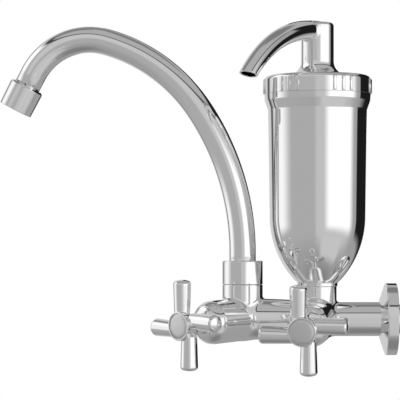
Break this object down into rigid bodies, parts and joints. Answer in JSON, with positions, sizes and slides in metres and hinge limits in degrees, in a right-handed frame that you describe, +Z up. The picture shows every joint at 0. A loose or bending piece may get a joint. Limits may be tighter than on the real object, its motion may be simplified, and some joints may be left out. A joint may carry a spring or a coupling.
{
  "type": "wall mounted kitchen faucet with filter",
  "caption": "Wall mounted chrome kitchen faucet: swan neck spout, cross handles, bottle shaped filter bowl with ribbed cap and a small swivel drinking spout.",
  "frame": {"origin": "on the wall plane, on the axis of the inlet thread", "axes": "+Z up, -Y out from the wall along the body, +X towards the side where the handles stand"},
  "size_m": [0.1074, 0.293, 0.2452],
  "materials": {
    "cast_brass_chrome": "cast brass, polished and chrome plated",
    "handle_chrome": "zinc die casting, polished and chrome plated",
    "handle_cap_satin": "chrome plated disc with a fine turned face",
    "tube_chrome": "drawn brass tube, polished and chrome plated",
    "turned_chrome": "turned brass, polished and chrome plated",
    "bowl_chrome": "moulded plastic, mirror chrome plated",
    "cap_chrome": "moulded plastic, mirror chrome plated",
    "filter_spout_chrome": "cast brass, polished and chrome plated",
    "bonnet_brass": "turned brass, chrome plated where it shows",
    "plain_brass": "plain turned brass",
    "screw_steel": "stainless steel",
    "ring_steel": "spring steel, bare",
    "seal_rubber": "black rubber, matt",
    "disc_ceramic": "lapped white ceramic",
    "white_plastic": "white moulded plastic",
    "clear_grid_plastic": "grey moulded plastic",
    "carbon_block": "pressed activated carbon, matt"
  },
  "bodies": {
    "body": {"valve_body": "cast_brass_chrome", "wall_flange": "turned_chrome", "main_headwork": "bonnet_brass", "main_headwork_seal": "seal_rubber", "main_seat_seal": "seal_rubber", "main_fixed_disc": "disc_ceramic", "filter_headwork": "bonnet_brass", "filter_headwork_seal": "seal_rubber", "filter_seat_seal": "seal_rubber", "filter_fixed_disc": "disc_ceramic", "spout_snap_ring": "ring_steel", "spout_slip_washer": "white_plastic", "filter_bowl": "bowl_chrome", "bowl_seal": "seal_rubber", "cartridge_block": "carbon_block", "cartridge_lower_cap": "white_plastic", "cartridge_upper_cap": "white_plastic", "cartridge_seal": "seal_rubber"},
    "spout": {"spout_tube": "tube_chrome", "spout_collar": "turned_chrome", "spout_lower_seal": "seal_rubber", "spout_upper_seal": "seal_rubber", "spout_bush": "turned_chrome", "aerator_washer": "seal_rubber", "aerator_insert": "clear_grid_plastic", "aerator_shell": "turned_chrome"},
    "main_valve": {"main_handle": "handle_chrome", "main_handle_cap": "handle_cap_satin", "main_handle_screw": "screw_steel", "main_spindle": "plain_brass", "main_spindle_seal": "seal_rubber", "main_moving_disc": "disc_ceramic"},
    "filter_valve": {"filter_handle": "handle_chrome", "filter_handle_cap": "handle_cap_satin", "filter_handle_screw": "screw_steel", "filter_spindle": "plain_brass", "filter_spindle_seal": "seal_rubber", "filter_moving_disc": "disc_ceramic"},
    "cap_carrier": {"cap_seal": "seal_rubber"},
    "cap": {"filter_cap": "cap_chrome", "filter_spout_ring": "ring_steel"},
    "drinking_spout": {"filter_spout": "filter_spout_chrome", "filter_spout_seal": "seal_rubber"}
  },
  "joints": [
    {"name": "spout_swivel", "type": "hinge", "parent": "body", "child": "spout", "pos_m": [0, -0.1075, 0], "axis": [0, 0, 1], "range_deg": [-93, 37]},
    {"name": "main_valve_turn", "type": "hinge", "parent": "body", "child": "main_valve", "pos_m": [0, -0.1075, 0], "axis": [0.6885, -0.723, -0.0558], "range_deg": [0, 90]},
    {"name": "filter_valve_turn", "type": "hinge", "parent": "body", "child": "filter_valve", "pos_m": [0, -0.055, 0], "axis": [0.9663, -0.232, -0.1115], "range_deg": [0, 90]},
    {"name": "cap_lift", "type": "slide", "parent": "body", "child": "cap_carrier", "axis": [0, 0, 1], "range_m": [0, 0.009]},
    {"name": "cap_turn", "type": "hinge", "parent": "cap_carrier", "child": "cap", "pos_m": [0, -0.055, 0.16], "axis": [0, 0, 1], "range_deg": [0, 720]},
    {"name": "drinking_spout_swivel", "type": "hinge", "parent": "cap_carrier", "child": "drinking_spout", "pos_m": [0, -0.055, 0.17], "axis": [0, 0, 1], "range_deg": [-22, 158]}
  ],
  "couplings": [
    {"joint": "cap_turn", "follows": "cap_lift", "rad_per_m": 1396.3}
  ]
}
